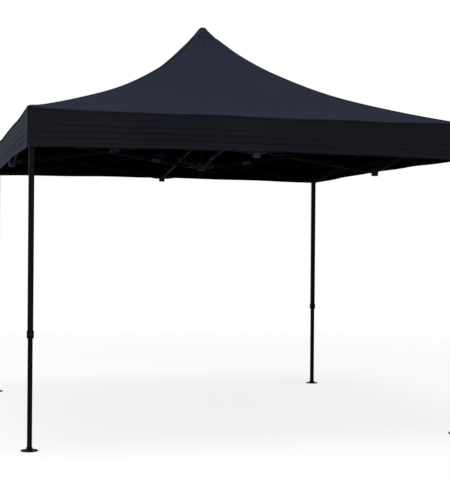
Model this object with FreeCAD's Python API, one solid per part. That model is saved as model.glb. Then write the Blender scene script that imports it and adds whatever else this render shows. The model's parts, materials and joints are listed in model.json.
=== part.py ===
import FreeCAD, Part
import math
import os

# Pop up gazebo, open and standing. Millimetres, +Z up, origin on the ground
# under the middle of the canopy. The front side faces -Y.

# ---- driving sizes ----
CANOPY_HALF = 1500.0        # middle of the gazebo to the valance
EAVE_Z = 2150.0             # where the roof meets the valance
VALANCE_DROP = 250.0        # height of the hanging valance
FABRIC = 1.5                # modelled thickness of the cloth
ROOF_DROP = 1.8             # roof cloth thickness measured straight down
LEG_LINE = 1470.0           # middle of the gazebo to the leg axes
TOP_PIVOT_Z = 2115.0        # bar pivots on the leg tops, upper middles and crown hub
LOW_PIVOT_Z = 1915.0        # bar pivots on the sliders, lower middles and lower hub
LEG_EAR = 85.0              # leg axis to bar pivot
MID_EAR = 55.0              # middle connector axis to bar pivot
HUB_EAR = 85.0              # hub axis to bar pivot

# ridge line of the roof: distance out from the middle, height
RIDGE = (
    (30.0, 3007.0),
    (41.0, 2983.0),
    (75.0, 2938.0),
    (112.0, 2895.0),
    (250.0, 2755.0),
    (450.0, 2601.0),
    (800.0, 2400.0),
    (1150.0, 2262.0),
    (1500.0, EAVE_Z),
)

# ---- truss bars ----
BAR_WIDTH = 24.0
BAR_THICK = 12.0
BAR_WALL = 1.2
BAR_OFFSET = 7.0            # each bar of a cross lies this far beside the cross plane
RIVET_R = 3.0
RIVET_HEAD_R = 5.5
RIVET_HEAD_H = 1.6
SPACER_R = 6.0
SPACER_H = 1.8
RUN_CLEAR = 0.05            # radial clearance of a running rivet
OPEN_CLEAR = 0.25           # radial clearance where a closed linkage is opened

# ---- forks that hold the bar ends ----
CHEEK = 4.0
FORK_GAP = 12.6
CHEEK_R = 12.0
WEB_BACK = 14.0             # the web between the cheeks stops this far before the pivot

# ---- connectors and hubs ----
MID_CORE = 44.0
CORE_H = 54.0
MID_CORE_HANG = 10.0        # the lower middle connectors reach this much further down
CORE_FILLET = 4.0
HUB_R = 34.0
CUP_FLOOR = 6.0

# ---- peak pole and cap ----
POLE_R = 12.5
POLE_WALL = 1.5
POLE_TOP = 2970.0
CAP_R = 34.0
CAP_TOP = 3000.0
CAP_EDGE = 2976.0
CAP_BOTTOM = 2955.0
CAP_SOCKET_R = 17.0
CAP_SOCKET_Z = 2930.0

# ---- legs ----
OUTER_TUBE = 34.0
TUBE_WALL = 1.2
OUTER_BOTTOM = 718.0
OUTER_TOP = 2130.0
INNER_TUBE = 29.0
INNER_BOTTOM = 5.0
INNER_TOP = 1150.0
TUBE_ROUND = 2.0
BRACKET = 45.0
BRACKET_BOTTOM = 2085.0
BRACKET_TOP = 2140.0
COLLAR = 42.0
COLLAR_BOTTOM = 706.0
COLLAR_TOP = 752.0
SLIDER = 43.0
SLIDER_BELOW = 14.0         # slider body below its pivots
SLIDER_HEIGHT = 50.0
SLIDE_CLEAR = 0.1           # slider and guide clearance on each side
FOOT_R = 55.0
FOOT_H = 5.0
FOOT_SOCKET = 37.0
FOOT_SOCKET_TOP = 22.0
PEG_HOLE_R = 4.5
PEG_SPACING = 80.0

# ---- lock buttons ----
BUTTON_R = 8.0
BUTTON_BORE_R = 8.06
PIN_R = 3.5
PIN_BORE_R = 3.56
BOSS_W = 22.0
BOSS_H = 26.0
LEG_PIN_Z = 733.0
SLIDER_PIN_Z = LOW_PIVOT_Z + 11.0
LEG_BOSS_FACE = 27.5        # leg axis to the outer face of the boss
SLIDER_BOSS_FACE = 23.5     # low enough to clear the valance beside it
BUTTON_OUT = 3.5            # how far a button stands out of its boss
BUTTON_CAP = 7.0
PIN_SHORT = 0.5             # a pin tip stops this short of the tube it locks into
LOCK_HOLE_R = 4.2
LOCK_HOLE_STEP = 100.0

UP = FreeCAD.Vector(0, 0, 1)
SIDES = (("front", 0.0), ("right", 90.0), ("back", 180.0), ("left", 270.0))
LEGS = (("front_left", 0.0), ("front_right", 90.0), ("back_right", 180.0), ("back_left", 270.0))


def vec(x, y, z):
    return FreeCAD.Vector(x, y, z)


def box(x0, x1, y0, y1, z0, z1):
    return Part.makeBox(x1 - x0, y1 - y0, z1 - z0, vec(x0, y0, z0))


def square_post(half, z0, z1):
    return box(-half, half, -half, half, z0, z1)


def rounded_post(half, radius, z0, z1):
    """A square post with rounded upright edges."""
    post = square_post(half, z0, z1)
    upright = [e for e in post.Edges if abs(e.Vertexes[0].Z - e.Vertexes[-1].Z) > 1.0]
    return post.makeFillet(radius, upright)


def turned(shape, angle):
    copy = shape.copy()
    copy.rotate(vec(0, 0, 0), UP, angle)
    return copy


def write(name, solids):
    """One STEP file for a node, each separate piece its own solid."""
    Part.makeCompound(solids).exportStep(os.path.join("parts", name + ".step"))


# ---------------------------------------------------------------- forks and bars
def fork(core_reach, pivot, offset, pivot_z, clearance):
    """A fork reaching along +X from core_reach to its pivot; its slot lies at Y = offset."""
    half_gap = FORK_GAP / 2
    outer = half_gap + CHEEK
    body = box(core_reach - 1.0, pivot, offset - outer, offset + outer,
               pivot_z - CHEEK_R, pivot_z + CHEEK_R)
    nose = Part.makeCylinder(CHEEK_R, 2 * outer, vec(pivot, offset - outer, pivot_z), vec(0, 1, 0))
    slot = box(pivot - WEB_BACK, pivot + 2 * CHEEK_R, offset - half_gap, offset + half_gap,
               pivot_z - 2 * CHEEK_R, pivot_z + 2 * CHEEK_R)
    hole = Part.makeCylinder(RIVET_R + clearance, 2 * outer + 2,
                             vec(pivot, offset - outer - 1, pivot_z), vec(0, 1, 0))
    return body.fuse(nose).cut(slot).cut(hole)


def rivet(x, y0, y1):
    """A headed rivet along Y through a stack that runs from y0 to y1."""
    shank = Part.makeCylinder(RIVET_R, y1 - y0, vec(x, y0, 0), vec(0, 1, 0))
    head_a = Part.makeCylinder(RIVET_HEAD_R, RIVET_HEAD_H, vec(x, y0 - RIVET_HEAD_H, 0), vec(0, 1, 0))
    head_b = Part.makeCylinder(RIVET_HEAD_R, RIVET_HEAD_H, vec(x, y1, 0), vec(0, 1, 0))
    return shank.fuse([head_a, head_b])


def bar_tube(length, side, middle_clearance):
    """A flat tube along +X from pivot to pivot, beside the plane Y = 0."""
    half_w = BAR_WIDTH / 2
    y0 = side * BAR_OFFSET - BAR_THICK / 2
    y1 = y0 + BAR_THICK
    body = box(0, length, y0, y1, -half_w, half_w)
    for x in (0, length):
        body = body.fuse(Part.makeCylinder(half_w, BAR_THICK, vec(x, y0, 0), vec(0, 1, 0)))
    inside = box(-2 * half_w, length + 2 * half_w, y0 + BAR_WALL, y1 - BAR_WALL,
                 BAR_WALL - half_w, half_w - BAR_WALL)
    body = body.cut(inside)
    for x, clearance in ((0, 0.0), (length / 2, middle_clearance), (length, 0.0)):
        hole = Part.makeCylinder(RIVET_R + clearance, BAR_THICK + 2, vec(x, y0 - 1, 0), vec(0, 1, 0))
        body = body.cut(hole)
    return body


def bar(length, side, has_middle_rivet):
    """A truss bar with its end rivets; one bar of each cross also carries the middle rivet."""
    reach = FORK_GAP / 2 + CHEEK
    middle = side * BAR_OFFSET
    pieces = [bar_tube(length, side, 0.0 if has_middle_rivet else RUN_CLEAR)]
    pieces += [rivet(x, middle - reach, middle + reach) for x in (0, length)]
    if has_middle_rivet:
        half_stack = BAR_OFFSET + BAR_THICK / 2
        spacer = Part.makeCylinder(SPACER_R, SPACER_H, vec(length / 2, -SPACER_H / 2, 0), vec(0, 1, 0))
        pieces.append(rivet(length / 2, -half_stack, half_stack).fuse(spacer))
    return pieces


def laid(pieces, start, end):
    """Pieces made along +X, moved so that the first pivot is at start and the last at end."""
    run = end - start
    tilt = math.degrees(math.atan2(run.z, math.hypot(run.x, run.y)))
    heading = math.degrees(math.atan2(run.y, run.x))
    result = []
    for piece in pieces:
        copy = piece.copy()
        copy.rotate(vec(0, 0, 0), vec(0, 1, 0), -tilt)
        copy.rotate(vec(0, 0, 0), UP, heading)
        copy.translate(start)
        result.append(copy)
    return result


SIDE_SPAN = LEG_LINE - LEG_EAR - MID_EAR
BAR_LENGTH = math.hypot(SIDE_SPAN, TOP_PIVOT_Z - LOW_PIVOT_Z)


def side_bars(side_name, angle):
    """The four bars along one side and the two bars that run from it to the hubs."""
    near = MID_EAR
    far = LEG_LINE - LEG_EAR
    y = -LEG_LINE
    for hand, sign in (("left", -1), ("right", 1)):
        # seen from the run direction of the bar, the inward side swaps between the hands
        inward = sign
        high = laid(bar(BAR_LENGTH, inward, True), vec(sign * near, y, LOW_PIVOT_Z),
                    vec(sign * far, y, TOP_PIVOT_Z))
        low = laid(bar(BAR_LENGTH, -inward, False), vec(sign * near, y, TOP_PIVOT_Z),
                   vec(sign * far, y, LOW_PIVOT_Z))
        write(f"{side_name}_{hand}_bar_to_leg_top", [turned(p, angle) for p in high])
        write(f"{side_name}_{hand}_bar_to_slider", [turned(p, angle) for p in low])
    inner_y = -(LEG_LINE - MID_EAR)
    crown = laid(bar(BAR_LENGTH, 1, True), vec(0, -HUB_EAR, TOP_PIVOT_Z), vec(0, inner_y, LOW_PIVOT_Z))
    lower = laid(bar(BAR_LENGTH, -1, False), vec(0, -HUB_EAR, LOW_PIVOT_Z), vec(0, inner_y, TOP_PIVOT_Z))
    write(f"{side_name}_bar_to_crown_hub", [turned(p, angle) for p in crown])
    write(f"{side_name}_bar_to_lower_hub", [turned(p, angle) for p in lower])


# ---------------------------------------------------------------- connectors and hubs
def mid_connector(pivot_z, hang, side_offset, inner_offset, side_clearance):
    """The block in the middle of a side: two forks along the side and one fork inwards."""
    half = MID_CORE / 2
    core = rounded_post(half, CORE_FILLET, pivot_z - CORE_H / 2 - hang, pivot_z + CORE_H / 2)
    right = fork(half, MID_EAR, side_offset, pivot_z, side_clearance)
    left = fork(half, MID_EAR, -side_offset, pivot_z, side_clearance)
    left = turned(left, 180.0)
    inner = turned(fork(half, MID_EAR, inner_offset, pivot_z, RUN_CLEAR), 90.0)
    block = core.fuse([right, left, inner]).removeSplitter()
    block.translate(vec(0, -LEG_LINE, 0))
    return block


def mid_connectors(side_name, angle):
    lower = mid_connector(LOW_PIVOT_Z, MID_CORE_HANG, BAR_OFFSET, -BAR_OFFSET, RUN_CLEAR)
    upper = mid_connector(TOP_PIVOT_Z, 0.0, -BAR_OFFSET, BAR_OFFSET, OPEN_CLEAR)
    write(f"{side_name}_lower_middle_connector", [turned(lower, angle)])
    write(f"{side_name}_upper_middle_connector", [turned(upper, angle)])


def hub(pivot_z, offset, clearance_front, clearance_rest):
    """A round hub with a fork towards the middle of each side."""
    core = Part.makeCylinder(HUB_R, CORE_H, vec(0, 0, pivot_z - CORE_H / 2))
    arms = []
    for index in range(4):
        clearance = clearance_front if index == 0 else clearance_rest
        arms.append(turned(fork(HUB_R - 6.0, HUB_EAR, offset, pivot_z, clearance), 90.0 * index - 90.0))
    return core.fuse(arms).removeSplitter()


def hubs():
    half_h = CORE_H / 2
    crown = hub(TOP_PIVOT_Z, BAR_OFFSET, RUN_CLEAR, RUN_CLEAR)
    bore = Part.makeCylinder(POLE_R + RUN_CLEAR, CORE_H + 2, vec(0, 0, TOP_PIVOT_Z - half_h - 1))
    write("crown_hub", [crown.cut(bore)])
    lower = hub(LOW_PIVOT_Z, -BAR_OFFSET, RUN_CLEAR, OPEN_CLEAR)
    cup = Part.makeCylinder(POLE_R + RUN_CLEAR, CORE_H, vec(0, 0, LOW_PIVOT_Z - half_h + CUP_FLOOR))
    write("lower_hub", [lower.cut(cup)])


# ---------------------------------------------------------------- peak
def peak_pole():
    foot_z = LOW_PIVOT_Z - CORE_H / 2 + CUP_FLOOR + RUN_CLEAR
    outside = Part.makeCylinder(POLE_R, POLE_TOP - foot_z, vec(0, 0, foot_z))
    inside = Part.makeCylinder(POLE_R - POLE_WALL, POLE_TOP - foot_z, vec(0, 0, foot_z))
    return outside.cut(inside)


def peak_cap():
    """A mushroom shaped cap with a socket over the pole."""
    rise = CAP_TOP - CAP_EDGE
    dome_r = (CAP_R ** 2 + rise ** 2) / (2 * rise)
    middle = vec(dome_r * math.sin(math.asin(CAP_R / dome_r) / 2), 0,
                 CAP_TOP - dome_r + dome_r * math.cos(math.asin(CAP_R / dome_r) / 2))
    dome = Part.Arc(vec(CAP_R, 0, CAP_EDGE), middle, vec(0, 0, CAP_TOP)).toShape()
    corners = [
        vec(0, 0, CAP_TOP),
        vec(0, 0, POLE_TOP),
        vec(POLE_R, 0, POLE_TOP),
        vec(POLE_R, 0, CAP_SOCKET_Z),
        vec(CAP_SOCKET_R, 0, CAP_SOCKET_Z),
        vec(CAP_SOCKET_R, 0, CAP_BOTTOM),
        vec(CAP_R, 0, CAP_BOTTOM),
        vec(CAP_R, 0, CAP_EDGE),
    ]
    edges = [Part.makeLine(a, b) for a, b in zip(corners, corners[1:])] + [dome]
    return Part.Face(Part.Wire(edges)).revolve(vec(0, 0, 0), UP, 360)


# ---------------------------------------------------------------- legs
def outer_leg_tube():
    outside = rounded_post(OUTER_TUBE / 2, TUBE_ROUND, OUTER_BOTTOM, OUTER_TOP)
    inside = square_post(OUTER_TUBE / 2 - TUBE_WALL, OUTER_BOTTOM - 1, OUTER_TOP + 1)
    tube = outside.cut(inside)
    for z in (LEG_PIN_Z, SLIDER_PIN_Z):
        tube = tube.cut(Part.makeCylinder(LOCK_HOLE_R, OUTER_TUBE, vec(0, 0, z), vec(0, -1, 0)))
    return tube


def top_bracket():
    """The block over the top of a leg, with two forks for the bars to the leg top."""
    half = BRACKET / 2
    block = rounded_post(half, CORE_FILLET, BRACKET_BOTTOM, BRACKET_TOP)
    along_x = fork(half, LEG_EAR, BAR_OFFSET, TOP_PIVOT_Z, RUN_CLEAR)
    along_y = turned(fork(half, LEG_EAR, -BAR_OFFSET, TOP_PIVOT_Z, OPEN_CLEAR), 90.0)
    block = block.fuse([along_x, along_y]).removeSplitter()
    socket = rounded_post(OUTER_TUBE / 2, TUBE_ROUND, BRACKET_BOTTOM - 1, OUTER_TOP)
    return block.cut(socket)


def button_boss(face, start, z):
    """The raised housing for a lock button on the outward face."""
    return box(-BOSS_W / 2, BOSS_W / 2, -face, -start, z - BOSS_H / 2, z + BOSS_H / 2)


def button_bores(face, z):
    cap_floor = face + BUTTON_OUT - BUTTON_CAP
    wide = Part.makeCylinder(BUTTON_BORE_R, BUTTON_CAP + 1, vec(0, -cap_floor, z), vec(0, -1, 0))
    narrow = Part.makeCylinder(PIN_BORE_R, cap_floor, vec(0, 0, z), vec(0, -1, 0))
    return wide.fuse(narrow)


def lock_button(face, tip, z):
    """A button with its lock pin, along the outward direction."""
    cap_floor = face + BUTTON_OUT - BUTTON_CAP
    cap = Part.makeCylinder(BUTTON_R, BUTTON_CAP, vec(0, -cap_floor, z), vec(0, -1, 0))
    rim = [e for e in cap.Edges if e.BoundBox.YMax < -(face + BUTTON_OUT) + 0.1]
    cap = cap.makeFillet(1.2, rim[:1])
    pin = Part.makeCylinder(PIN_R, cap_floor - tip + 1.0, vec(0, -tip, z), vec(0, -1, 0))
    return cap.fuse(pin)


def leg_collar():
    """The leg lock housing: holds the outer tube above and guides the inner tube below."""
    half = COLLAR / 2
    body = rounded_post(half, CORE_FILLET, COLLAR_BOTTOM, COLLAR_TOP)
    body = body.fuse(button_boss(LEG_BOSS_FACE, half - 1, LEG_PIN_Z))
    seat = rounded_post(OUTER_TUBE / 2, TUBE_ROUND, OUTER_BOTTOM, COLLAR_TOP + 1)
    guide = square_post(INNER_TUBE / 2 + SLIDE_CLEAR, COLLAR_BOTTOM - 1, OUTER_BOTTOM + 1)
    return body.cut(seat).cut(guide).cut(button_bores(LEG_BOSS_FACE, LEG_PIN_Z))


def slider():
    """The block that runs on the outer tube, with two forks for the bars to the slider."""
    half = SLIDER / 2
    bottom = LOW_PIVOT_Z - SLIDER_BELOW
    body = rounded_post(half, CORE_FILLET, bottom, bottom + SLIDER_HEIGHT)
    boss = button_boss(SLIDER_BOSS_FACE, half - 1, SLIDER_PIN_Z)
    along_x = fork(half, LEG_EAR, -BAR_OFFSET, LOW_PIVOT_Z, RUN_CLEAR)
    along_y = turned(fork(half, LEG_EAR, BAR_OFFSET, LOW_PIVOT_Z, OPEN_CLEAR), 90.0)
    body = body.fuse([boss, along_x, along_y]).removeSplitter()
    bore = square_post(OUTER_TUBE / 2 + SLIDE_CLEAR, bottom - 1, bottom + SLIDER_HEIGHT + 1)
    return body.cut(bore).cut(button_bores(SLIDER_BOSS_FACE, SLIDER_PIN_Z))


def inner_leg_tube():
    outside = rounded_post(INNER_TUBE / 2, TUBE_ROUND, INNER_BOTTOM, INNER_TOP)
    inside = square_post(INNER_TUBE / 2 - TUBE_WALL, INNER_BOTTOM - 1, INNER_TOP + 1)
    tube = outside.cut(inside)
    for step in (-1, 0, 1):
        z = LEG_PIN_Z + step * LOCK_HOLE_STEP
        tube = tube.cut(Part.makeCylinder(LOCK_HOLE_R, INNER_TUBE, vec(0, 0, z), vec(0, -1, 0)))
    return tube


def foot_plate():
    """A round foot with a square socket and two peg holes."""
    disc = Part.makeCylinder(FOOT_R, FOOT_H)
    disc = disc.makeChamfer(1.5, [e for e in disc.Edges if e.BoundBox.ZMin > FOOT_H - 0.1][:1])
    boss = rounded_post(FOOT_SOCKET / 2, CORE_FILLET, FOOT_H - 1, FOOT_SOCKET_TOP)
    foot = disc.fuse(boss).removeSplitter()
    foot = foot.cut(rounded_post(INNER_TUBE / 2, TUBE_ROUND, INNER_BOTTOM, FOOT_SOCKET_TOP + 1))
    for sign in (-1, 1):
        hole = Part.makeCylinder(PEG_HOLE_R, FOOT_H + 2, vec(sign * PEG_SPACING / 2, 0, -1))
        foot = foot.cut(hole)
    return foot


def at_leg(shape, angle):
    copy = shape.copy()
    copy.translate(vec(-LEG_LINE, -LEG_LINE, 0))
    return turned(copy, angle)


def legs():
    fixed = [outer_leg_tube(), top_bracket(), leg_collar()]
    moving = [inner_leg_tube(), foot_plate()]
    runner = slider()
    leg_button = lock_button(LEG_BOSS_FACE, INNER_TUBE / 2 + PIN_SHORT, LEG_PIN_Z)
    slide_button = lock_button(SLIDER_BOSS_FACE, OUTER_TUBE / 2 + PIN_SHORT, SLIDER_PIN_Z)
    for name, angle in LEGS:
        write(f"{name}_outer_leg", [at_leg(s, angle) for s in fixed])
        write(f"{name}_inner_leg_and_foot", [at_leg(s, angle) for s in moving])
        write(f"{name}_slider", [at_leg(runner, angle)])
        write(f"{name}_leg_lock_button", [at_leg(leg_button, angle)])
        write(f"{name}_slider_lock_button", [at_leg(slide_button, angle)])


# ---------------------------------------------------------------- canopy
def ridge_edge(angle):
    points = [vec(w, w, z) for w, z in RIDGE]
    curve = Part.BSplineCurve()
    curve.interpolate(points)
    edge = curve.toShape()
    edge.rotate(vec(0, 0, 0), UP, angle)
    return edge


def square_face(half, z):
    corners = [vec(half, half, z), vec(-half, half, z), vec(-half, -half, z), vec(half, -half, z)]
    return Part.Face(Part.makePolygon(corners + corners[:1]))


def roof_block():
    """The filled shape under the roof, bounded by four curved faces between the ridges."""
    ridges = [ridge_edge(90.0 * i) for i in range(4)]
    faces = [Part.makeRuledSurface(ridges[i], ridges[(i + 1) % 4]) for i in range(4)]
    top_half, top_z = RIDGE[0]
    eave_half, eave_z = RIDGE[-1]
    faces += [square_face(top_half, top_z), square_face(eave_half, eave_z)]
    shell = Part.makeShell(faces)
    shell.sewShape()
    solid = Part.makeSolid(shell)
    if solid.Volume < 0:
        solid.reverse()
    return solid


def canopy_roof():
    block = roof_block()
    lower = block.copy()
    lower.translate(vec(0, 0, -ROOF_DROP))
    return block.cut(lower)


def canopy_valance():
    outside = square_post(CANOPY_HALF, EAVE_Z - VALANCE_DROP, EAVE_Z)
    inside = square_post(CANOPY_HALF - FABRIC, EAVE_Z - VALANCE_DROP - 1, EAVE_Z + 1)
    return outside.cut(inside)


os.makedirs("parts", exist_ok=True)
for side_name, angle in SIDES:
    side_bars(side_name, angle)
    mid_connectors(side_name, angle)
hubs()
write("peak_pole", [peak_pole()])
write("peak_cap", [peak_cap()])
legs()
write("canopy_roof", [canopy_roof()])
write("canopy_valance", [canopy_valance()])
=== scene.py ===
import json
import math
import bpy
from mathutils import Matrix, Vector

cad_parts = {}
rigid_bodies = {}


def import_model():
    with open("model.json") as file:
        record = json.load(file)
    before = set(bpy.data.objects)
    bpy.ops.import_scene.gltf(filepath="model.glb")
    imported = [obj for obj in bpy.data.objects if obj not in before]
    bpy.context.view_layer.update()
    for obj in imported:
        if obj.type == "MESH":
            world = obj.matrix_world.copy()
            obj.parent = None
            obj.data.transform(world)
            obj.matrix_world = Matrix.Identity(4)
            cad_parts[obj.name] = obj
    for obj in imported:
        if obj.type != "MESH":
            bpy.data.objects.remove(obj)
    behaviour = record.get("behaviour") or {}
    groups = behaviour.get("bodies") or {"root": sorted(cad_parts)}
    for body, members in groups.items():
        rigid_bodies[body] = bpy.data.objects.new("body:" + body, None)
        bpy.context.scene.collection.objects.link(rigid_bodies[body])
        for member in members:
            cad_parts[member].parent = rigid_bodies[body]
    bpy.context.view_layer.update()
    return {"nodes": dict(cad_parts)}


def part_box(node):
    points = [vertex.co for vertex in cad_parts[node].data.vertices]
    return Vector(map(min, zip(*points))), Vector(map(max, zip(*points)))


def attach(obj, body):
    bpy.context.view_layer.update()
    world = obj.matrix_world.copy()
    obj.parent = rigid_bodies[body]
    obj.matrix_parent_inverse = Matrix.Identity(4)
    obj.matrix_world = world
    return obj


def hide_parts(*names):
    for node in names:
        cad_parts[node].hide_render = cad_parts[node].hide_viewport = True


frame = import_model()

NODES = frame["nodes"]

# ---- sizes, metres, in the frame of the CAD ----
HALF = 1.5                  # middle of the gazebo to the valance
EAVE_Z = 2.15
EAVE_EDGE = 1.499           # where the roof cloth turns down over the eave
CLOTH_T = 0.0010
THIN_T = 0.0008             # thickness of bands, patch and straps
TAPE_T = 0.0006             # thickness of seam tapes
CORNER_RADIUS = 0.014       # of the cloth round a corner
CORNER_LIFT = 0.007         # the leg tops push the roof corners up
CORNER_REACH = 0.085        # how far round a corner that push is felt
HOLLOW = 0.026              # how far the middle of a roof face sags below its ridges
SAG_MIDDLE = 0.004          # how far the eave hangs in the middle of a side
SAG_BETWEEN = 0.0045        # and how much more halfway from there to a corner
VALANCE_H = 0.25
VALANCE_TOP_Z = EAVE_Z - 0.001
VALANCE_INSET = 0.0006
HEM_ARCH = 0.014            # the hem rises this much towards the middle of a side
FOLDED_HALF = 0.2545        # middle of the folded gazebo to its valance
FOLDED_RADIUS = 0.025       # of the folded valance round a corner
FOLDED_FLARE = 0.004        # how much wider the folded valance is at its hem
FOLDED_PLEAT = 0.0045       # height of its pleats at the hem
LEG_TRAVEL = 1.2585         # how far a leg moves inwards when the frame folds
PEAK_DROP = 0.783           # how far the peak pole comes down
PEAK_REACH = 0.45           # the cloth within about this distance of the peak comes down with it

# ---- the lap of the roof over the top of the valance ----
LAP_OUT = 0.0025            # how far it stands off the valance
LAP_TURN = 0.006            # length of cloth in which it moves out
LAP_ROUND = 0.002           # length of cloth taken by the rounded edge

# ---- rows of stitches on the roof, distance out ----
ROOF_SEAMS = (1.485, 1.492)

# ---- heights of the small waves in the tight roof ----
CORNER_PULL = 0.0060
PEAK_PULL = 0.0026
EAVE_PULL = 0.0022
FACE_WAVE = 0.0040

# ---- valance: rows of stitches as share of its height and depth, and storage creases ----
VALANCE_SEAMS = ((0.635, 0.0022), (0.685, 0.0018), (0.800, 0.0022), (0.935, 0.0016))
SEAM_WIDTH = 0.009
SEAM_ROW_STEP = 0.007       # share of the height between the extra rows of points at a seam
HEM_TOP = 0.935
HEM_THICKNESS = 0.0012
SLOW_WAVE = 0.0032          # heights of the waves that run round the valance
QUICK_WAVE = 0.0022
FINE_WAVE = 0.0012
CREASE_DEPTH = 0.0020
CREASE_START = 0.335        # share of the valance's height
CREASE_STEP = 0.165

# ---- inner bars, for the straps on them ----
LOW_PIVOT_Z = 1.915
TOP_PIVOT_Z = 2.115
HUB_EAR = 0.085             # middle of the gazebo to the first pivot of an inner bar
ARM_END = 1.415             # middle of the gazebo to its last pivot
BAR_OFFSET = 0.007

# ---- legs and lock buttons ----
LEGS = ("front_left", "front_right", "back_right", "back_left")
FOLD_BODY = "body:front_left_leg"   # the body whose travel tells how far the frame is folded
BUTTON_TRAVEL = 0.005       # how far a lock button is pulled out
BUTTON_PUSH = 0.0065        # how far a pulled slider button pushes the valance out
BUTTON_REACH = 0.045
BUTTON_LEAST = 0.05         # a piece that takes less than this share of the push isn't bulged
BUTTON_FADE = 20            # the bulge fades while the legs move in by 1 / 20 m

# ---- materials, metres ----
UV_SHIFT = 7.0              # in cloth coordinates, keeps the four sides apart
WEAVE = 0.0016
WEBBING_RIB = 0.0022
WEBBING_CORD = 0.0035
STITCH_PITCH = 0.0062
STITCH_SHARE = 0.66         # of the pitch, the rest is the gap
STITCH_HALF_WIDTH = 0.0009
# width of the painted shade beside a stitch row
GROOVE_SHADE_REACH = 0.0045
DUST_HEIGHT = 0.35          # dust on the legs reaches this high

# ---- light, camera and floor; place and size in metres, turn in degrees, lens in millimetres ----
SKY_LOW = 0.30
SKY_HIGH = 0.50
FLOOR_SIZE = 60
FLOOR_FADE = (4.0, 9.0)     # distances from the middle between which the floor fades out
FLOOR_GLOW = 0.75           # share of the floor seen by the camera that takes no shadow
FLOOR_GLOW_STRENGTH = 1.04
FLOOR_GREY = 0.90
FLOOR_BOUNCE = 0.22
FLOOR_GAP = 0.0005          # keeps the floor just clear of the soles
# name, place, what it points at, size, power, colour
LIGHTS = (
    ("overhead", (-0.8, -1.2, 9.0), (0, 0, 1.5), 4.0, 380, (1, 1, 1)),
    ("front_fill", (-4.5, -8.0, 5.5), (0, 0, 2.2), 6.0, 190, (1, 1, 1)),
    ("left_side", (-8.0, 1.5, 4.0), (0, 0, 2.0), 4.0, 180, (0.93, 0.97, 1.10)),
)
CAMERA_PLACE = (-2.1662, -8.5326, 1.2883)
CAMERA_TURN = (89.824, -0.448, -15.481)
CAMERA_LENS = 80.4816
CAMERA_SENSOR = 36.0

# mid line of a roof face: distance out from the middle, height
ROOF_LINE = (
    (0.000, 3.0095), (0.020, 3.0060), (0.041, 2.9835), (0.075, 2.938), (0.112, 2.895),
    (0.250, 2.755), (0.450, 2.601), (0.800, 2.400), (1.150, 2.262), (EAVE_EDGE, EAVE_Z),
)
# the same line when the frame is folded: share of the cloth from peak to eave, distance out, height
FOLDED_LINE = (
    (0.00, 0.000, 2.2240), (0.02, 0.036, 2.2130), (0.04, 0.060, 2.1860), (0.13, 0.200, 2.1660),
    (0.19, 0.285, 2.1600), (0.23, 0.355, 2.1200), (0.27, 0.388, 2.0400), (0.55, 0.405, 1.5000),
    (0.60, 0.378, 1.4300), (0.64, 0.340, 1.4600), (0.96, 0.292, 2.0800),
    (1.00, FOLDED_HALF, EAVE_Z),
)
# share of the cloth, pleat height when folded
PLEATS = (
    (0.00, 0.000), (0.10, 0.002), (0.20, 0.010), (0.30, 0.028), (0.55, 0.046), (0.60, 0.040),
    (0.64, 0.022), (0.72, 0.010), (1.00, 0.004),
)


# ---------------------------------------------------------------- curves
def lookup(rows, x, column=1):
    """Value of a table at x, joined by a smooth curve through its rows."""
    if x <= rows[0][0]:
        return rows[0][column]
    if x >= rows[-1][0]:
        return rows[-1][column]
    i = max(j for j in range(len(rows) - 1) if rows[j][0] <= x)

    def steepness(j):
        return (rows[j + 1][column] - rows[j][column]) / (rows[j + 1][0] - rows[j][0])

    def slope(j):
        if j == 0:
            return steepness(0)
        if j == len(rows) - 1:
            return steepness(j - 1)
        left, right = steepness(j - 1), steepness(j)
        if left * right <= 0:
            return 0.0
        return 2 * left * right / (left + right)

    x0, y0 = rows[i][0], rows[i][column]
    x1, y1 = rows[i + 1][0], rows[i + 1][column]
    h = x1 - x0
    t = (x - x0) / h
    return ((1 + 2 * t) * (1 - t) ** 2 * y0 + t * (1 - t) ** 2 * h * slope(i)
            + t * t * (3 - 2 * t) * y1 + t * t * (t - 1) * h * slope(i + 1))


def ease(x, low, high):
    """Rises smoothly from 0 at low to 1 at high."""
    t = min(1.0, max(0.0, (x - low) / (high - low)))
    return t * t * (3 - 2 * t)


def cloth_shares(steps=150):
    """Arc length share from peak to eave, at equal steps of the distance out."""
    lengths = [0.0]
    last = (0.0, ROOF_LINE[0][1])
    for i in range(1, steps + 1):
        w = HALF * i / steps
        z = lookup(ROOF_LINE, w)
        lengths.append(lengths[-1] + math.hypot(w - last[0], z - last[1]))
        last = (w, z)
    return [length / lengths[-1] for length in lengths]


SHARES = cloth_shares()


def share_of(w):
    """Share of the cloth between the peak and this distance out."""
    position = min(w / HALF, 1.0) * (len(SHARES) - 1)
    i = min(int(position), len(SHARES) - 2)
    t = position - i
    return SHARES[i] * (1 - t) + SHARES[i + 1] * t


# ---------------------------------------------------------------- cloth surface
def on_square(side, a, half, radius):
    """A point on a rounded square; a runs from -1 to 1 along a side, radius rounds the corners."""
    s = abs(a) * half
    flat = half - radius
    if s <= flat:
        x, out = s, half
    else:
        turn = (s - flat) / max(radius, 1e-6) * math.pi / 4
        x, out = flat + radius * math.sin(turn), flat + radius * math.cos(turn)
    x = math.copysign(x, a)
    c, n = ((1, 0), (0, 1), (-1, 0), (0, -1))[side % 4]
    return c * x + n * out, n * x - c * out


def around(side, a):
    """Angle round the canopy, a quarter turn for each side."""
    return (side + a / 2) * math.pi / 2


def over_eave(w):
    """Distance out on the roof and, past the eave, how far the lap stands out and hangs down."""
    lap = max(0.0, w - EAVE_EDGE)
    return min(w, EAVE_EDGE), LAP_OUT * ease(lap, 0.0, LAP_TURN), max(0.0, lap - LAP_ROUND)


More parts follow.
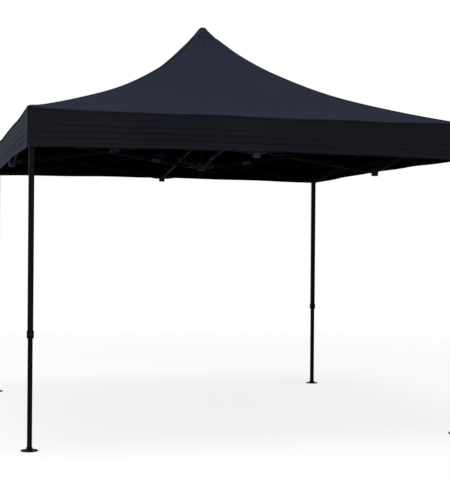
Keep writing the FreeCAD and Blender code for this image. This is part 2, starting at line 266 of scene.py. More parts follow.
def eave_sag(a):
    """The eave hangs a little between the corners and the middle connector."""
    return SAG_BETWEEN * math.sin(math.pi * abs(a)) ** 2 + SAG_MIDDLE * (1 - a * a)


def corner_ripple(side, a, w):
    """Folds that fan out from the two corners of a roof face."""
    ripple = 0.0
    for sign in (-1, 1):
        dx, dy = HALF - sign * a * w, HALF - w
        d = math.hypot(dx, dy)
        pull = math.exp(-d / 0.42) * (1 - math.exp(-d / 0.10))
        ripple += pull * math.sin(15 * math.atan2(dy, dx) + 1.7 * side + sign)
    return ripple


def roof_ripple(side, a, w):
    """Small pulls in the tight cloth: from the corners, from the peak, along the eave and between."""
    turn = around(side, a)
    peak = math.exp(-w / 0.34) * (1 - math.exp(-w / 0.06)) * math.sin(20 * turn + math.sin(3 * turn))
    eave = ease(w, 0.9, 1.4) * math.sin(13 * a + 2.1 * side) * math.sin(3 * w)
    middle = (1 - a * a) * ease(w, 0.25, 0.8)
    face = middle * math.sin(5.3 * a * w + 1.9 * side + 0.8) * math.sin(3.1 * w + 1.3 * side)
    return (CORNER_PULL * corner_ripple(side, a, w) + PEAK_PULL * peak + EAVE_PULL * eave
            + FACE_WAVE * face)


def roof_rest(side, a, w):
    """The open roof: a runs along the side, w is the distance out from the middle."""
    inside, lap_out, lap_down = over_eave(w)
    rounder = 0.036 * math.exp(-inside / 0.10) + 0.05 * math.exp(-inside / 0.03)
    x, y = on_square(side, a, inside + lap_out, min(inside, CORNER_RADIUS + rounder))
    q = inside / HALF
    hollow = HOLLOW * (1 - a * a) * math.sin(math.pi * q) ** 0.9 if 0 < q < 1 else 0.0
    z = lookup(ROOF_LINE, inside) - hollow + roof_ripple(side, a, inside)
    z -= eave_sag(a) * ease(inside, 1.20, EAVE_EDGE)
    z += CORNER_LIFT * math.exp(-((HALF - abs(x)) ** 2 + (HALF - abs(y)) ** 2) / CORNER_REACH ** 2)
    return Vector((x, y, z - lap_down))


def pleat(turn):
    """One wave per fold of the bunched cloth, uneven like real folds."""
    uneven = 0.75 + 0.25 * math.sin(5 * turn + 1.3)
    return uneven * math.sin(26 * turn + 0.9 * math.sin(3 * turn + 0.4) + 0.5 * math.sin(7 * turn))


def roof_folded(side, a, w):
    """The roof bunched round the folded frame."""
    inside, lap_out, lap_down = over_eave(w)
    f = share_of(inside)
    turn = around(side, a)
    out = lookup(FOLDED_LINE, f, 1) + lookup(PLEATS, f) * pleat(turn)
    hang = ease(f, 0.27, 0.55) * (1 - ease(f, 0.64, 0.90))
    z = lookup(FOLDED_LINE, f, 2)
    z += hang * (0.045 * math.sin(2 * turn + 0.6) + 0.020 * pleat(turn + 0.03))
    rounding = 0.60 - 0.52 * ease(f, 0.66, 1.0)
    x, y = on_square(side, a, out + lap_out, out * rounding)
    return Vector((x, y, z - lap_down))


def seam_dip(v):
    """Rows of stitches pull the valance in; the hem at the bottom is doubled cloth."""
    dips = sum(depth * math.exp(-((v - row) / SEAM_WIDTH) ** 2) for row, depth in VALANCE_SEAMS)
    return HEM_THICKNESS * ease(v, HEM_TOP, HEM_TOP + 0.010) - dips


def storage_crease(side, a, v):
    """Soft level creases from folding, stronger towards one end of each side."""
    towards = a if side % 2 else -a
    strength = 0.2 + 0.8 * ease(towards, -0.4, 0.6)
    span = ease(v, 0.22, 0.36) * (1 - ease(v, 0.86, 0.93)) * (1 - abs(a) ** 12)
    drift = 0.020 * math.sin(4.1 * a + 1.9 * side)
    level = (v - CREASE_START - drift) / CREASE_STEP
    return CREASE_DEPTH * strength * span * math.sin(2 * math.pi * level)


def valance_wave(side, a, v):
    """How far a point of the valance stands out of its plane."""
    turn = around(side, a)
    drift = SLOW_WAVE * math.sin(9 * turn + 0.8) + QUICK_WAVE * math.sin(23 * turn + 2.0)
    fine = FINE_WAVE * math.sin(61 * turn + 3 * math.sin(4 * turn))
    off_corner = 1 - abs(a) ** 8
    return (drift + fine) * v * off_corner + seam_dip(v) + storage_crease(side, a, v)


def valance_rest(side, a, v):
    """The open valance: a runs along the side, v from 0 at the eave to 1 at the hem."""
    half = HALF - VALANCE_INSET + valance_wave(side, a, v)
    x, y = on_square(side, a, half, CORNER_RADIUS)
    z = VALANCE_TOP_Z - VALANCE_H * v + 0.0015 * v * math.sin(17 * around(side, a))
    z -= eave_sag(a) * (1 - v) - HEM_ARCH * (1 - a * a) * v
    return Vector((x, y, z))


def valance_folded(side, a, v):
    """The valance gathered round the folded frame."""
    flare = FOLDED_FLARE * v + FOLDED_PLEAT * v * pleat(around(side, a) * 2)
    half = FOLDED_HALF + flare
    x, y = on_square(side, a, half, FOLDED_RADIUS)
    return Vector((x, y, VALANCE_TOP_Z - VALANCE_H * v))


def lifted(surface, side, a, w, lift, step=0.004):
    """A point raised off a cloth surface along its outward normal."""
    point = surface(side, a, w)
    if lift == 0.0:
        return point
    da = step if a < 1 - 2 * step else -step
    along = (surface(side, a + da, w) - point) * (1 if da > 0 else -1)
    down = surface(side, a, w + step) - surface(side, a, w - step)
    normal = along.cross(down)
    if normal.length < 1e-12:
        return point + Vector((0, 0, lift))
    return point - normal.normalized() * lift


def roof_uv(side, a, w):
    """Cloth coordinates of a roof point, metres."""
    return a * w + UV_SHIFT * side, w


def valance_uv(side, a, v):
    """Cloth coordinates of a valance point, metres."""
    return HALF * a + UV_SHIFT * side, v * VALANCE_H


ROOF = (roof_rest, roof_folded, roof_uv)
VALANCE = (valance_rest, valance_folded, valance_uv)


# ---------------------------------------------------------------- drivers and shape keys
def add_variable(driver, name, target, channel):
    variable = driver.variables.new()
    variable.name = name
    variable.type = "TRANSFORMS"
    variable.targets[0].id = bpy.data.objects[target]
    variable.targets[0].transform_type = channel
    variable.targets[0].transform_space = "WORLD_SPACE"


def drive(key, target, channel, expression):
    """Drives a shape key from one body; its channel is called travel in the expression."""
    driver = key.driver_add("value").driver
    driver.type = "SCRIPTED"
    add_variable(driver, "travel", target, channel)
    driver.expression = expression
    return driver


def follow_fold(obj, folded_points, drop_weights=None):
    """Shape keys that fold the cloth: one with the legs, one that keeps the peak on its cap."""
    obj.shape_key_add(name="open")
    folded = obj.shape_key_add(name="folded")
    for i, point in enumerate(folded_points):
        folded.data[i].co = point
    drive(folded, FOLD_BODY, "LOC_X", f"min(1, max(0, travel / {LEG_TRAVEL}))")
    if drop_weights is None:
        return
    peak = obj.shape_key_add(name="peak")
    basis = obj.data.shape_keys.key_blocks[0].data
    for i, weight in enumerate(drop_weights):
        peak.data[i].co = basis[i].co - Vector((0, 0, PEAK_DROP * weight))
    driver = drive(peak, "body:peak", "LOC_Z", f"max(0, -travel / {PEAK_DROP} - leg / {LEG_TRAVEL})")
    add_variable(driver, "leg", FOLD_BODY, "LOC_X")


def peak_weight(w):
    """How much a roof point comes down with the peak before the legs have moved far."""
    return math.exp(-(w / PEAK_REACH) ** 2)


def slider_buttons():
    """Tip of the lock button on each slider and the direction it is pulled in."""
    directions = (Vector((0, -1, 0)), Vector((1, 0, 0)), Vector((0, 1, 0)), Vector((-1, 0, 0)))
    for leg, out in zip(LEGS, directions):
        low, high = (Vector(corner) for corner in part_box(f"{leg}_slider_lock_button"))
        yield leg, (low + high) / 2 + out * abs((high - low).dot(out)) / 2, out


def yield_to_buttons(obj):
    """Shape keys that bulge the valance where the lock button of a slider is pulled against it."""
    basis = obj.data.shape_keys.key_blocks[0].data
    for leg, tip, out in slider_buttons():
        weights = [math.exp(-((point.co - tip).length / BUTTON_REACH) ** 2) for point in basis]
        if max(weights) < BUTTON_LEAST:
            continue
        key = obj.shape_key_add(name=f"{leg}_button")
        for i, weight in enumerate(weights):
            key.data[i].co = basis[i].co + out * BUTTON_PUSH * weight
        channel = "LOC_Y" if abs(out.y) > 0.5 else "LOC_X"
        pulled = f"min(1, abs(travel - slider) / {BUTTON_TRAVEL})"
        driver = drive(key, f"body:{leg}_slider_button", channel,
                       f"{pulled} * max(0, 1 - {BUTTON_FADE} * abs(leg))")
        add_variable(driver, "slider", f"body:{leg}_slider", channel)
        add_variable(driver, "leg", FOLD_BODY, "LOC_X")


# ---------------------------------------------------------------- mesh helpers
def columns(count=46, straight_end=0.988):
    """Places along one side, closer together where the cloth turns the corner."""
    straight = [straight_end * (2 * i / count - 1) for i in range(count + 1)]
    corner = [0.9665, 0.9800, 0.9907, 0.9938, 0.9969]
    return sorted([-1.0] + [-c for c in corner] + straight + corner)


def new_object(name, points, faces, uvs):
    mesh = bpy.data.meshes.new(name)
    mesh.from_pydata([tuple(p) for p in points], [], faces)
    layer = mesh.uv_layers.new(name="cloth")
    for loop in mesh.loops:
        layer.data[loop.index].uv = uvs[loop.vertex_index]
    for polygon in mesh.polygons:
        polygon.use_smooth = True
    mesh.update()
    obj = bpy.data.objects.new(name, mesh)
    bpy.context.scene.collection.objects.link(obj)
    return obj


def grid_faces(rows, cols, closed=False):
    """Quads between rows of points; a closed grid also joins its last column to its first."""
    faces = []
    span = cols if closed else cols - 1
    for r in range(rows - 1):
        for c in range(span):
            d = (c + 1) % cols
            faces.append((r * cols + c, (r + 1) * cols + c, (r + 1) * cols + d, r * cols + d))
    return faces


def thicken(obj, thickness, rim_material=0, inner_material=0):
    """Cloth thickness, grown inwards, with its own material on the inner side."""
    solid = obj.modifiers.new("thickness", "SOLIDIFY")
    solid.thickness = thickness
    solid.offset = -1.0
    solid.use_even_offset = False
    solid.material_offset = inner_material
    solid.material_offset_rim = rim_material


def cloth_ring(name, surfaces, rows, side_columns, drops=False):
    """A sheet all the way round the canopy; each row is its place down the cloth and its lift."""
    rest, folded, uv = surfaces
    cols = [(side, a) for side in range(4) for a in side_columns]
    places = [(side, a, w, lift) for w, lift in rows for side, a in cols]
    points = [lifted(rest, *place) for place in places]
    uvs = [uv(side, a, w) for side, a, w, _ in places]
    obj = new_object(name, points, grid_faces(len(rows), len(cols), closed=True), uvs)
    weights = [peak_weight(w) for _, _, w, _ in places] if drops else None
    follow_fold(obj, [lifted(folded, *place) for place in places], weights)
    return obj


def across_corner(index, across, span):
    """Side, and place along it, of a point this far across the line between two sides."""
    if across <= 0:
        return index, 1 + across / span
    return (index + 1) % 4, -1 + across / span


def finish_piece(obj, body, *materials):
    """Gives a cloth piece its materials and the body that it moves with."""
    for material in materials:
        obj.data.materials.append(material)
    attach(obj, body)


# ---------------------------------------------------------------- material helpers
def rgb(r, g, b):
    return (r, g, b, 1.0)


def times(color, factor):
    """A colour made lighter or darker."""
    return rgb(*[min(1.0, factor * c) for c in color[:3]])


class Nodes:
    """Short names for building a node tree."""

    def __init__(self, tree):
        self.tree = tree
        self.tree.nodes.clear()

    def add(self, kind, **values):
        node = self.tree.nodes.new(kind)
        for key, value in values.items():
            setattr(node, key, value)
        return node

    def link(self, start, end):
        self.tree.links.new(start, end)

    def put(self, socket, value):
        if hasattr(value, "is_output"):
            self.link(value, socket)
        else:
            socket.default_value = value

    def math(self, operation, a, b=0.0):
        node = self.add("ShaderNodeMath", operation=operation)
        self.put(node.inputs[0], a)
        self.put(node.inputs[1], b)
        return node.outputs[0]

    def axes(self, vector):
        """The three parts of a vector."""
        node = self.add("ShaderNodeSeparateXYZ")
        self.link(vector, node.inputs[0])
        return node.outputs

    def position(self):
        return self.add("ShaderNodeNewGeometry").outputs["Position"]

    def cloth_place(self):
        """Distance across and down the cloth, metres."""
        return self.axes(self.add("ShaderNodeUVMap", uv_map="cloth").outputs[0])[:2]

    def waves(self, value, length):
        """A sine that repeats after this length."""
        return self.math("SINE", self.math("MULTIPLY", value, 2 * math.pi / length))

    def noise(self, vector, scale, detail=4.0, roughness=0.55):
        """Noise from 0 to 1 with about scale features in a metre."""
        node = self.add("ShaderNodeTexNoise")
        self.link(vector, node.inputs["Vector"])
        node.inputs["Scale"].default_value = scale
        node.inputs["Detail"].default_value = detail
        node.inputs["Roughness"].default_value = roughness
        return node.outputs["Fac"]

    def remap(self, value, low, high, to_low, to_high):
        """The value stretched from between low and high to between to_low and to_high."""
        node = self.add("ShaderNodeMapRange")
        self.put(node.inputs["Value"], value)
        ends = {"From Min": low, "From Max": high, "To Min": to_low, "To Max": to_high}
        for key, number in ends.items():
            node.inputs[key].default_value = number
        return node.outputs[0]

    def mix_color(self, factor, a, b):
        node = self.add("ShaderNodeMix", data_type="RGBA")
        self.put(node.inputs[0], factor)
        self.put(node.inputs[6], a)
        self.put(node.inputs[7], b)
        return node.outputs[2]

    def bump(self, height, strength, distance, normal=None):
        node = self.add("ShaderNodeBump")
        node.inputs["Strength"].default_value = strength
        node.inputs["Distance"].default_value = distance
        self.link(height, node.inputs["Height"])
        if normal is not None:
            self.link(normal, node.inputs["Normal"])
        return node.outputs[0]

    def shaded(self, kind, grey, strength=None):
        node = self.add(kind)
        self.put(node.inputs["Color"], rgb(grey, grey, grey))
        if strength is not None:
            self.put(node.inputs["Strength"], strength)
        return node.outputs[0]

    def mix_shader(self, factor, a, b):
        node = self.add("ShaderNodeMixShader")
        self.put(node.inputs[0], factor)
        self.link(a, node.inputs[1])
        self.link(b, node.inputs[2])
        return node.outputs[0]

    def camera_ray(self):
        return self.add("ShaderNodeLightPath").outputs["Is Camera Ray"]


class Material(Nodes):
    """The node tree of a new material with one principled shader."""

    def __init__(self, name):
        self.material = bpy.data.materials.new(name)
        self.material.use_nodes = True
        super().__init__(self.material.node_tree)
        self.output = self.add("ShaderNodeOutputMaterial")
        self.shader = self.add("ShaderNodeBsdfPrincipled")
        self.link(self.shader.outputs[0], self.output.inputs[0])

    def set(self, **values):
        for key, value in values.items():
            self.put(self.shader.inputs[key.replace("_", " ")], value)


# ---------------------------------------------------------------- materials
SHEEN_TINT = rgb(0.55, 0.72, 1.0)


def cloth_material(name, dark, light, seams=(), roughness=0.66, sheen=0.0, gloss=0.01):
    """Coated woven polyester. seams are heights on the cloth where rows of stitches run, each with
    painted shade in a groove along it.
    """
    n = Material(name)
    across, down = n.cloth_place()
    place = n.position()
    threads = n.math("MULTIPLY", n.waves(across, WEAVE), n.waves(down, WEAVE))
    blotch = n.noise(place, scale=2.2, detail=5.0)
    fine = n.noise(place, scale=46.0, detail=3.0)
    soft = n.noise(place, scale=9.0, detail=3.0, roughness=0.45)
    tone = n.math("ADD", n.math("MULTIPLY", blotch, 0.65), n.math("MULTIPLY", fine, 0.35))
    tone = n.math("ADD", tone, n.math("MULTIPLY", threads, 0.05))
    color = n.mix_color(n.remap(tone, 0.30, 0.70, 0.0, 1.0), dark, light)
    normal = n.bump(n.math("MULTIPLY", threads, 0.25), strength=0.35, distance=0.0004)
    normal = n.bump(soft, strength=0.22, distance=0.010, normal=normal)
    if seams:
        stitches = seam_rows(n, across, down, seams)
        groove_shade = seam_groove_shade(n, down, seams)
        # painted shade: the cloth is darkened along the groove of each stitch row
        color = n.mix_color(n.math("MULTIPLY", groove_shade, 0.55), color, times(dark, 0.3))
        color = n.mix_color(n.math("MULTIPLY", stitches, 0.85), color, times(light, 3.2))
        normal = n.bump(stitches, strength=0.8, distance=0.0010, normal=normal)
    n.set(Base_Color=color, Normal=normal, Specular_IOR_Level=gloss)
    n.set(Roughness=n.remap(blotch, 0.3, 0.7, roughness - 0.06, roughness + 0.08))
    n.set(Sheen_Weight=sheen, Sheen_Roughness=0.45, Sheen_Tint=SHEEN_TINT)
    return n.material


def seam_rows(n, across, down, seams):
    """1 on the thread of each stitch in a row at each seam height, 0 elsewhere."""
    phase = n.math("FRACT", n.math("DIVIDE", across, STITCH_PITCH))
    dash = n.math("LESS_THAN", phase, STITCH_SHARE)
    rows = None
    for height in seams:
        off = n.math("ABSOLUTE", n.math("SUBTRACT", down, height))
        near = n.math("LESS_THAN", off, STITCH_HALF_WIDTH)
        rows = near if rows is None else n.math("MAXIMUM", rows, near)
    return n.math("MULTIPLY", dash, rows)


def seam_groove_shade(n, down, seams):
    """Mask of the painted shade: 1 in the groove around each stitch row, falling to 0 beside it."""
    shade_mask = None
    for height in seams:
        off = n.math("ABSOLUTE", n.math("SUBTRACT", down, height))
        near = n.remap(off, 0.0, GROOVE_SHADE_REACH, 1.0, 0.0)
        shade_mask = near if shade_mask is None else n.math("MAXIMUM", shade_mask, near)
    return shade_mask


def tape_material(name, dark, light):
    """Ribbed webbing for bindings, straps and seam tapes."""
    n = Material(name)
    across, down = n.cloth_place()
    ribs = n.waves(across, WEBBING_RIB)
    cord = n.waves(down, WEBBING_CORD)
    mottled = n.noise(n.position(), scale=60.0, detail=3.0)
    tone = n.math("ADD", n.math("MULTIPLY", ribs, 0.12), mottled)
    height = n.math("MULTIPLY", ribs, n.math("ADD", cord, 1.5))
    n.set(Base_Color=n.mix_color(n.remap(tone, 0.3, 0.75, 0.0, 1.0), dark, light))
    n.set(Roughness=n.remap(mottled, 0.3, 0.7, 0.62, 0.80), Sheen_Weight=0.02)
    n.set(Normal=n.bump(height, strength=0.5, distance=0.0005), Specular_IOR_Level=0.08)
    return n.material


def powder_coat(name, base, worn):
    """Powder coated steel: fine orange peel, dust low down, slight rubbing."""
    n = Material(name)
    place = n.position()
    peel = n.noise(place, scale=420.0, detail=2.0)
    rub = n.noise(place, scale=16.0, detail=6.0, roughness=0.7)
    specks = n.noise(place, scale=30.0, detail=5.0)
    low = n.remap(n.axes(place)[2], 0.0, DUST_HEIGHT, 1.0, 0.0)
    dust = n.math("MULTIPLY", low, n.remap(specks, 0.45, 0.75, 0.0, 0.5))
    marks = n.math("MAXIMUM", n.remap(rub, 0.62, 0.80, 0.0, 0.6), dust)
    rough = n.math("ADD", n.remap(rub, 0.3, 0.7, 0.42, 0.56), n.math("MULTIPLY", dust, 0.4))
    n.set(Base_Color=n.mix_color(marks, base, worn), Metallic=0.0, Roughness=rough)
    n.set(Normal=n.bump(peel, strength=0.25, distance=0.0006), Specular_IOR_Level=0.12)
    return n.material


def moulded_plastic(name, base, worn, roughness=0.5):
    """Moulded nylon: spark grain, faint flow marks, dull scuffs."""
    n = Material(name)
    place = n.position()
    grain = n.noise(place, scale=900.0, detail=2.0)
    flow = n.noise(place, scale=28.0, detail=4.0)
    scrapes = n.noise(place, scale=75.0, detail=6.0, roughness=0.75)
    scuff = n.remap(scrapes, 0.60, 0.78, 0.0, 0.55)
    clean = n.mix_color(flow, base, times(base, 1.25))
    n.set(Base_Color=n.mix_color(scuff, clean, worn))
    n.set(Roughness=n.remap(flow, 0.3, 0.7, roughness - 0.07, roughness + 0.09))
    n.set(Normal=n.bump(grain, strength=0.35, distance=0.0004), Specular_IOR_Level=0.22)
    return n.material


def zinc(name):
    """Zinc plated rivets with fine turning marks."""
    n = Material(name)
    place = n.position()
    spots = n.noise(place, scale=130.0, detail=5.0)
    fine = n.noise(place, scale=900.0, detail=2.0)
    n.set(Base_Color=n.mix_color(spots, rgb(0.09, 0.095, 0.10), rgb(0.17, 0.175, 0.18)), Metallic=1.0)
    n.set(Roughness=n.remap(spots, 0.3, 0.7, 0.28, 0.50))
    n.set(Normal=n.bump(fine, strength=0.3, distance=0.0003))
    return n.material


M_ROOF = cloth_material(
    "roof_cloth", rgb(0.0142, 0.0173, 0.0299), rgb(0.0196, 0.0236, 0.0393), seams=ROOF_SEAMS)
M_VALANCE = cloth_material(
    "valance_cloth", rgb(0.0140, 0.0147, 0.0207), rgb(0.0176, 0.0185, 0.0252),
    seams=[VALANCE_H * seam for seam, _ in VALANCE_SEAMS], sheen=0.07, gloss=0.03)
# underside of the cloth: a dark inner side, made near black as painted shade under the canopy
M_DARK_UNDERSIDE_WITH_SHADE = cloth_material(
    "dark_underside_and_painted_shade", rgb(0.0014, 0.0014, 0.0016), rgb(0.0026, 0.0026, 0.0030),
    roughness=0.80, gloss=0.02)
M_TAPE = tape_material("seam_tape", rgb(0.0016, 0.0017, 0.0024), rgb(0.0034, 0.0037, 0.0052))
M_STRAP = tape_material("strap_webbing", rgb(0.060, 0.066, 0.085), rgb(0.095, 0.103, 0.130))
M_STEEL = powder_coat("black_powder_coat", rgb(0.0042, 0.0044, 0.0056), rgb(0.016, 0.0165, 0.019))
M_PLASTIC = moulded_plastic("connector_nylon", rgb(0.024, 0.028, 0.042), rgb(0.060, 0.064, 0.078))
M_BLACK_PLASTIC = moulded_plastic(
    "bracket_nylon", rgb(0.0048, 0.0050, 0.0062), rgb(0.018, 0.0185, 0.021))
M_BUTTON = moulded_plastic(
    "button_nylon", rgb(0.016, 0.017, 0.021), rgb(0.045, 0.046, 0.050), roughness=0.45)
M_ZINC = zinc("zinc_rivet")


# ---------------------------------------------------------------- canopy
def roof_rows():
    """Distances out: close at the peak and at the eave, even on the slope."""
    near_peak = [0.0006, 0.008, 0.016, 0.024, 0.032, 0.042, 0.055, 0.070, 0.090, 0.112]
    start, end, steps = near_peak[-1], 1.470, 66
    slope = [start + (end - start) * (i / steps) for i in range(1, steps + 1)]
    edge = [1.482, 1.491, 1.496, EAVE_EDGE, 1.501, 1.503, 1.507, 1.512]
    return near_peak + slope + edge


def make_roof():
    rows = [(w, 0.0) for w in roof_rows()]
    roof = cloth_ring("canopy_roof_cloth", ROOF, rows, columns(), drops=True)
    thicken(roof, CLOTH_T, rim_material=2, inner_material=1)
    finish_piece(roof, "crown", M_ROOF, M_DARK_UNDERSIDE_WITH_SHADE, M_TAPE)
    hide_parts("canopy_roof")


def valance_rows(count=36):
    """Even rows from eave to hem, with more of them at the seams."""
    rows = [i / count for i in range(count + 1)]
    for seam, _ in VALANCE_SEAMS:
        rows += [seam + SEAM_ROW_STEP * step for step in (-2, -1, 0, 1, 2)]
    return sorted(rows)


def make_valance():
    rows = [(v, 0.0) for v in valance_rows()]
    valance = cloth_ring("canopy_valance_cloth", VALANCE, rows, columns())
    yield_to_buttons(valance)
    thicken(valance, CLOTH_T, inner_material=1)
    finish_piece(valance, "crown", M_VALANCE, M_DARK_UNDERSIDE_WITH_SHADE)
    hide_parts("canopy_valance")


def valance_band(name, material, top, bottom, lift, puff, sign=1):
    """A strip sewn all the way round the valance; top and bottom are shares of its height.

    lift is its gap to the valance, puff its height in the middle; sign -1 puts it inside.
    """
    edge = 0.006
    middle = (top + bottom) / 2
    profile = [(top, 0.0), (top + edge, 1.0), (middle, 1.3), (bottom - edge, 1.0), (bottom, 0.0)]
    rows = [(v, sign * (lift + puff * height)) for v, height in profile]
    band = cloth_ring(name, VALANCE, rows, columns())
    yield_to_buttons(band)
    thicken(band, THIN_T)
    finish_piece(band, "crown", material)


def peak_patch():
    """Round doubled patch where the cloth sits on the peak cap."""
    distances = [0.0006, 0.010, 0.020, 0.032, 0.044, 0.058, 0.072, 0.086]
    rows = [(w, 0.0012) for w in distances] + [(0.092, 0.0002)]
    patch = cloth_ring("peak_patch", ROOF, rows, columns(24), drops=True)
    thicken(patch, THIN_T)
    finish_piece(patch, "crown", M_ROOF)


def ridge_tape(index):
    """Binding sewn over one ridge seam, from the peak to the corner."""
    start, end, steps = 0.10, 1.490, 80
    distances = [start + (end - start) * i / steps for i in range(steps + 1)]
    spread = (-0.010, -0.0065, -0.003, 0.0, 0.003, 0.0065, 0.010)
    lifts = (0.0004, 0.0016, 0.0024, 0.0030, 0.0024, 0.0016, 0.0004)
    clear = Vector((0, 0, 0.0006))
    rest, folded, uvs, weights = [], [], [], []
    for w in distances:
        for across, lift in zip(spread, lifts):
            side, a = across_corner(index, across, w)
            rest.append(lifted(roof_rest, side, a, w, lift) + clear)
            folded.append(lifted(roof_folded, side, a, w, lift))
            uvs.append((across, w))
            weights.append(peak_weight(w))
    faces = grid_faces(len(distances), len(spread))
    tape = new_object(f"ridge_binding_{index}", rest, faces, uvs)
    follow_fold(tape, folded, weights)
    thicken(tape, TAPE_T)
    finish_piece(tape, "crown", M_TAPE)


def corner_seam(index):
    """Upright seam tape where two valance panels meet at a corner."""
    start, end, steps = 0.02, 0.98, 14
    heights = [start + (end - start) * i / steps for i in range(steps + 1)]
    spread = (-0.0060, -0.0035, 0.0, 0.0035, 0.0060)
    lifts = (0.0003, 0.0014, 0.0018, 0.0014, 0.0003)
    step = 0.0015
    rest, folded, uvs = [], [], []
    for v in heights:
        for across, lift in zip(spread, lifts):
            side, a = across_corner(index, across, HALF)
            rest.append(lifted(valance_rest, side, a, v, lift, step))
            folded.append(lifted(valance_folded, side, a, v, lift, step))
            uvs.append((across, v * VALANCE_H))
    faces = grid_faces(len(heights), len(spread))
    seam = new_object(f"valance_corner_seam_{index}", rest, faces, uvs)
    follow_fold(seam, folded)
    yield_to_buttons(seam)
    thicken(seam, TAPE_T)
    finish_piece(seam, "crown", M_TAPE)


# ---------------------------------------------------------------- hook and loop straps on the inner bars
def arm_bar(angle, to_crown):
    """Start, direction, sideways and upwards direction of one inner bar at rest."""
    low, high = (TOP_PIVOT_Z, LOW_PIVOT_Z) if to_crown else (LOW_PIVOT_Z, TOP_PIVOT_Z)
    out = Vector((math.cos(angle), math.sin(angle), 0.0))
    left = Vector((-out.y, out.x, 0.0))
    side = left if to_crown else -left
    start = out * HUB_EAR + side * BAR_OFFSET + Vector((0, 0, low))
    end = out * ARM_END + side * BAR_OFFSET + Vector((0, 0, high))
    run = end - start
    return start, run, side, run.normalized().cross(left)


def strap_section():
    """Cross-section of a strap round a bar, ending in a loose tail: sideways, upwards."""
    half_w, half_h, rounding = 0.0064, 0.0126, 0.0020
    points = [(0.002, -half_h - 0.0006)]
    for cx, cz, first in ((1, -1, -90), (1, 1, 0), (-1, 1, 90), (-1, -1, 180)):
        for step in (0, 45, 90):
            turn = math.radians(first + step)
            points.append((cx * (half_w - rounding) + rounding * math.cos(turn),
                           cz * (half_h - rounding) + rounding * math.sin(turn)))
    tail = [(-0.002, -0.0134), (0.0016, -0.0142), (0.0040, -0.0156), (0.0046, -0.0172),
            (0.0038, -0.0190)]
    return points + tail


def bar_strap(name, body, angle, to_crown, share, width):
    """A strap wound round one inner bar at this share of its length; its tail hangs a bit crooked."""
    start, run, side, up = arm_bar(angle, to_crown)
    along = run.normalized()
    middle = start + run * share
    section = strap_section()
    steps = 9
    tail_start, tail_length = -0.0140, 0.024
    points, uvs = [], []
    for j, (across, height) in enumerate(section):
        loose = max(0.0, tail_start - height)
        for i in range(steps + 1):
            t = i / steps - 0.5
            curl = 0.0025 * math.sin(9 * t + 40 * share) * loose / tail_length
            slope = 0.10 * loose * math.sin(3 * t + 11 * share)
            points.append(middle + along * (t * width) + side * (across + curl) + up * (height + slope))
            uvs.append((t * width, j * 0.004))
    strap = new_object(name, points, grid_faces(len(section), steps + 1), uvs)
    thicken(strap, THIN_T)
    finish_piece(strap, body, M_STRAP)


def bar_straps():
    for index, side in enumerate(("front", "right", "back", "left")):
        angle = math.radians(90 * index - 90)
        bar_strap(f"{side}_strap_outer", f"{side}_crown_bar", angle, True, share=0.46, width=0.078)
        bar_strap(f"{side}_strap_inner", f"{side}_hub_bar", angle, False, share=0.21, width=0.070)


# ---------------------------------------------------------------- frame finishes
def islands(mesh):
    """Groups of polygons that hang together, as lists of polygon numbers."""
    places = {}
    parent = list(range(len(mesh.vertices)))

    def root(i):
        while parent[i] != i:
            parent[i] = parent[parent[i]]
            i = parent[i]
        return i

    for v in mesh.vertices:
        key = tuple(round(x, 6) for x in v.co)
        if key in places:
            parent[root(v.index)] = root(places[key])
        else:
            places[key] = v.index
    for polygon in mesh.polygons:
        first = root(polygon.vertices[0])
        for v in polygon.vertices[1:]:
            parent[root(v)] = first
    groups = {}
    for polygon in mesh.polygons:
        groups.setdefault(root(polygon.vertices[0]), []).append(polygon.index)
    return list(groups.values())


def island_size(mesh, group):
    """Length of the diagonal of the box round a group of polygons."""
    points = [mesh.vertices[v].co for p in group for v in mesh.polygons[p].vertices]
    low = Vector([min(p[i] for p in points) for i in range(3)])
    high = Vector([max(p[i] for p in points) for i in range(3)])
    return (high - low).length


def paint(node, material, small_material=None, small=0.0):
    """Gives a node its material, and its separate pieces up to this size their own."""
    mesh = NODES[node].data
    mesh.materials.clear()
    mesh.materials.append(material)
    if small_material is None:
        return
    mesh.materials.append(small_material)
    for group in islands(mesh):
        number = 0 if island_size(mesh, group) > small else 1
        for p in group:
            mesh.polygons[p].material_index = number


# words in a node's name, its material, the material of its small pieces and how large those are at most
FINISHES = (
    ("bar_to", M_STEEL, M_ZINC, 0.2),
    ("outer_leg", M_STEEL, M_BLACK_PLASTIC, 1.0),
    ("inner_leg", M_STEEL, M_BLACK_PLASTIC, 0.5),
    ("button", M_BUTTON),
    ("peak_pole", M_STEEL),
    ("slider", M_BLACK_PLASTIC),
    ("", M_PLASTIC),        # hubs, connectors and cap
)


def paint_frame():
    for node in NODES:
        if node.startswith("canopy"):
            continue
        finish = next(finish for finish in FINISHES if finish[0] in node)
        paint(node, *finish[1:])


# ---------------------------------------------------------------- setting
def stand_on_lowest_foot(floor):
    """When the legs are set longer or shorter, the floor stays under the lowest foot."""
    driver = floor.driver_add("location", 2).driver
    driver.type = "SCRIPTED"
    for leg in LEGS:
        add_variable(driver, leg, f"body:{leg}_inner_leg", "LOC_Z")
    driver.expression = f"min({', '.join(LEGS)}) - {FLOOR_GAP}"


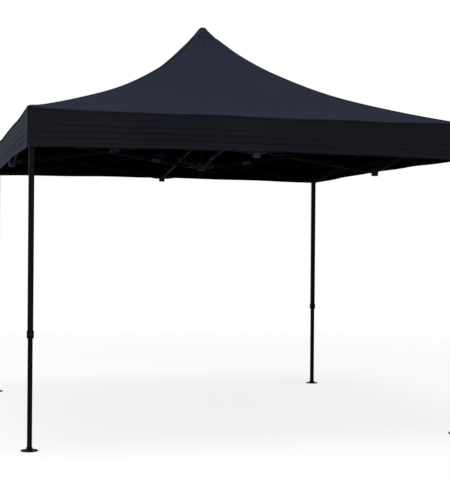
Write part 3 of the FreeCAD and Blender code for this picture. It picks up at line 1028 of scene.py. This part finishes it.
def plain_floor():
    """A pale floor that melts into the white backdrop and takes only a faint shadow."""
    bpy.ops.mesh.primitive_plane_add(size=FLOOR_SIZE)
    floor = bpy.context.object
    floor.name = "floor"
    n = Material("pale_floor")
    reach = n.add("ShaderNodeVectorMath", operation="LENGTH")
    n.link(n.position(), reach.inputs[0])
    fade = n.remap(reach.outputs["Value"], *FLOOR_FADE, 0.0, 1.0)
    shadowed = n.shaded("ShaderNodeBsdfDiffuse", FLOOR_GREY)
    glow = n.shaded("ShaderNodeEmission", 1.0, FLOOR_GLOW_STRENGTH)
    bounce = n.shaded("ShaderNodeBsdfDiffuse", FLOOR_BOUNCE)
    clear = n.shaded("ShaderNodeBsdfTransparent", 1.0)
    seen = n.mix_shader(FLOOR_GLOW, shadowed, glow)
    solid = n.mix_shader(n.camera_ray(), bounce, seen)
    n.link(n.mix_shader(fade, solid, clear), n.output.inputs[0])
    floor.data.materials.append(n.material)
    stand_on_lowest_foot(floor)


def sky():
    """White to the camera; as a light, bright overhead and dim towards the horizon."""
    world = bpy.data.worlds.new("studio")
    bpy.context.scene.world = world
    world.use_nodes = True
    n = Nodes(world.node_tree)
    output = n.add("ShaderNodeOutputWorld")
    direction = n.add("ShaderNodeTexCoord").outputs["Generated"]
    height = n.remap(n.axes(direction)[2], 0.0, 1.0, SKY_LOW, SKY_HIGH)
    lit = n.shaded("ShaderNodeBackground", 1.0, height)
    seen = n.shaded("ShaderNodeBackground", 1.0, 1.0)
    n.link(n.mix_shader(n.camera_ray(), lit, seen), output.inputs[0])


def area_light(name, location, target, size, power, color):
    data = bpy.data.lights.new(name, "AREA")
    data.shape = "SQUARE"
    data.size = size
    data.energy = power
    data.color = color
    light = bpy.data.objects.new(name, data)
    light.location = location
    light.rotation_euler = (Vector(target) - Vector(location)).to_track_quat("-Z", "Y").to_euler()
    bpy.context.scene.collection.objects.link(light)


def camera():
    data = bpy.data.cameras.new("view")
    data.sensor_width = CAMERA_SENSOR
    data.lens = CAMERA_LENS
    view = bpy.data.objects.new("view", data)
    view.location = CAMERA_PLACE
    view.rotation_euler = [math.radians(turn) for turn in CAMERA_TURN]
    bpy.context.scene.collection.objects.link(view)
    bpy.context.scene.camera = view


make_roof()
make_valance()
bar_straps()
valance_band("valance_hem", M_VALANCE, top=0.905, bottom=1.0, lift=0.0002, puff=0.0010)
valance_band("valance_hook_band", M_TAPE, top=0.63, bottom=0.78, lift=0.0016, puff=0.0008, sign=-1)
peak_patch()
for corner in range(4):
    ridge_tape(corner)
    corner_seam(corner)
paint_frame()
plain_floor()
sky()
for light in LIGHTS:
    area_light(*light)
camera()
bpy.context.scene.view_settings.view_transform = "Standard"
